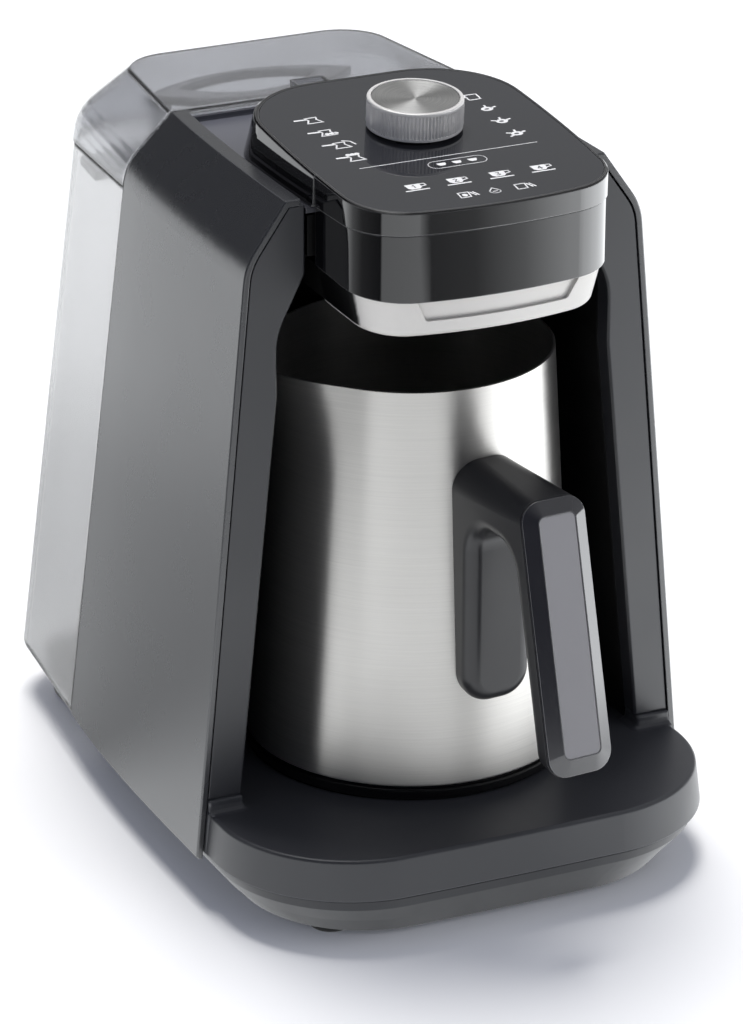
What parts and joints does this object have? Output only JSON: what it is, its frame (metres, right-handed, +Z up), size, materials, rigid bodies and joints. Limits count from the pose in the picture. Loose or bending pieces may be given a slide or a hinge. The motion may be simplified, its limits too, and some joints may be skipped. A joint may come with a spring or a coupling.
{
  "type": "electric turkish coffee maker",
  "caption": "Countertop Turkish coffee maker: steel pot with upright grip in a front bay, sloped control head with a knurled knob, lift-off rear water tank under a smoke-tinted lid.",
  "frame": {"origin": "bottom centre of the bounding box at rest, on the plane the feet stand on", "axes": "+Z up, -Y out of the front where the pot's grip points, +X to the right seen from the front"},
  "size_m": [0.1876, 0.2944, 0.275],
  "materials": {
    "panel_grey": "satin",
    "frame_grey": "satin",
    "inner_black": "matte",
    "gloss_black": "gloss",
    "panel_glass": "mirror gloss",
    "trim_silver": "satin",
    "steel": "brushed",
    "handle_black": "satin",
    "grip_grey": "satin",
    "tank_clear": "frosted clear plastic",
    "lid_smoke": "smoke-tinted clear plastic",
    "inner_clear": "semi-gloss",
    "float_white": "matte",
    "rubber": "matte",
    "lens": "clear dark red"
  },
  "bodies": {
    "chassis": {"side_panel_left": "panel_grey", "side_panel_right": "panel_grey", "frame_leg_left": "frame_grey", "frame_leg_right": "frame_grey", "bay_liner": "inner_black", "bulkhead": "inner_black", "base_tray": "frame_grey", "base_pan": "inner_black", "foot_front_left": "rubber", "foot_front_right": "rubber", "foot_rear_left": "rubber", "foot_rear_right": "rubber", "pan_screws": "inner_black", "cord_gland": "inner_black", "hot_plate": "steel", "plate_ring": "handle_black", "plate_sensor": "steel", "top_deck": "frame_grey", "head_core": "inner_black", "head_band": "gloss_black", "head_bezel": "gloss_black", "head_shroud": "gloss_black", "panel_carrier": "inner_black", "control_panel": "panel_glass", "brew_trim": "trim_silver", "head_underside": "inner_black", "water_nozzle": "steel", "steam_nozzle": "steel", "foam_sensor": "lens", "knob_bush": "float_white", "knob_switch": "float_white", "valve_dock": "inner_black", "dock_pin": "steel"},
    "knob_button": {"knob_slider": "float_white"},
    "knob": {"knob_shaft": "steel", "knob_ring": "steel", "knob_cap": "steel"},
    "pot": {"pot_body": "steel", "pot_base": "handle_black", "pot_sole": "steel", "pot_handle": "handle_black", "grip_frame": "gloss_black", "grip_face": "grip_grey", "handle_screws": "steel"},
    "tank": {"tank_body": "tank_clear", "tank_bar": "inner_clear", "tank_valve": "inner_clear", "tank_filter": "inner_clear", "float_guide": "inner_clear", "lid_gasket": "rubber"},
    "lid": {"tank_lid": "lid_smoke", "lid_tab": "lid_smoke"},
    "valve": {"valve_plunger": "float_white"},
    "float": {"tank_float": "float_white"}
  },
  "joints": [
    {"name": "knob_press", "type": "slide", "parent": "chassis", "child": "knob_button", "axis": [0, 0.0709, -0.9975], "range_m": [0, 0.0006], "stiffness_N_per_m": 800},
    {"name": "knob_turn", "type": "hinge", "parent": "knob_button", "child": "knob", "pos_m": [0, -0.03577, 0.26263], "axis": [0, -0.0709, 0.9975], "continuous": true},
    {"name": "pot_pull", "type": "slide", "parent": "chassis", "child": "pot", "axis": [0, -1, 0], "range_m": [0, 0.16]},
    {"name": "tank_lift", "type": "slide", "parent": "chassis", "child": "tank", "axis": [0, 0, 1], "range_m": [0, 0.25]},
    {"name": "lid_lift", "type": "slide", "parent": "tank", "child": "lid", "axis": [0, 0, 1], "range_m": [0, 0.12]},
    {"name": "valve_push", "type": "slide", "parent": "tank", "child": "valve", "axis": [0, 0, 1], "range_m": [0, 0.002], "stiffness_N_per_m": 100},
    {"name": "float_rise", "type": "slide", "parent": "tank", "child": "float", "axis": [0, 0, 1], "range_m": [0, 0.07]}
  ]
}
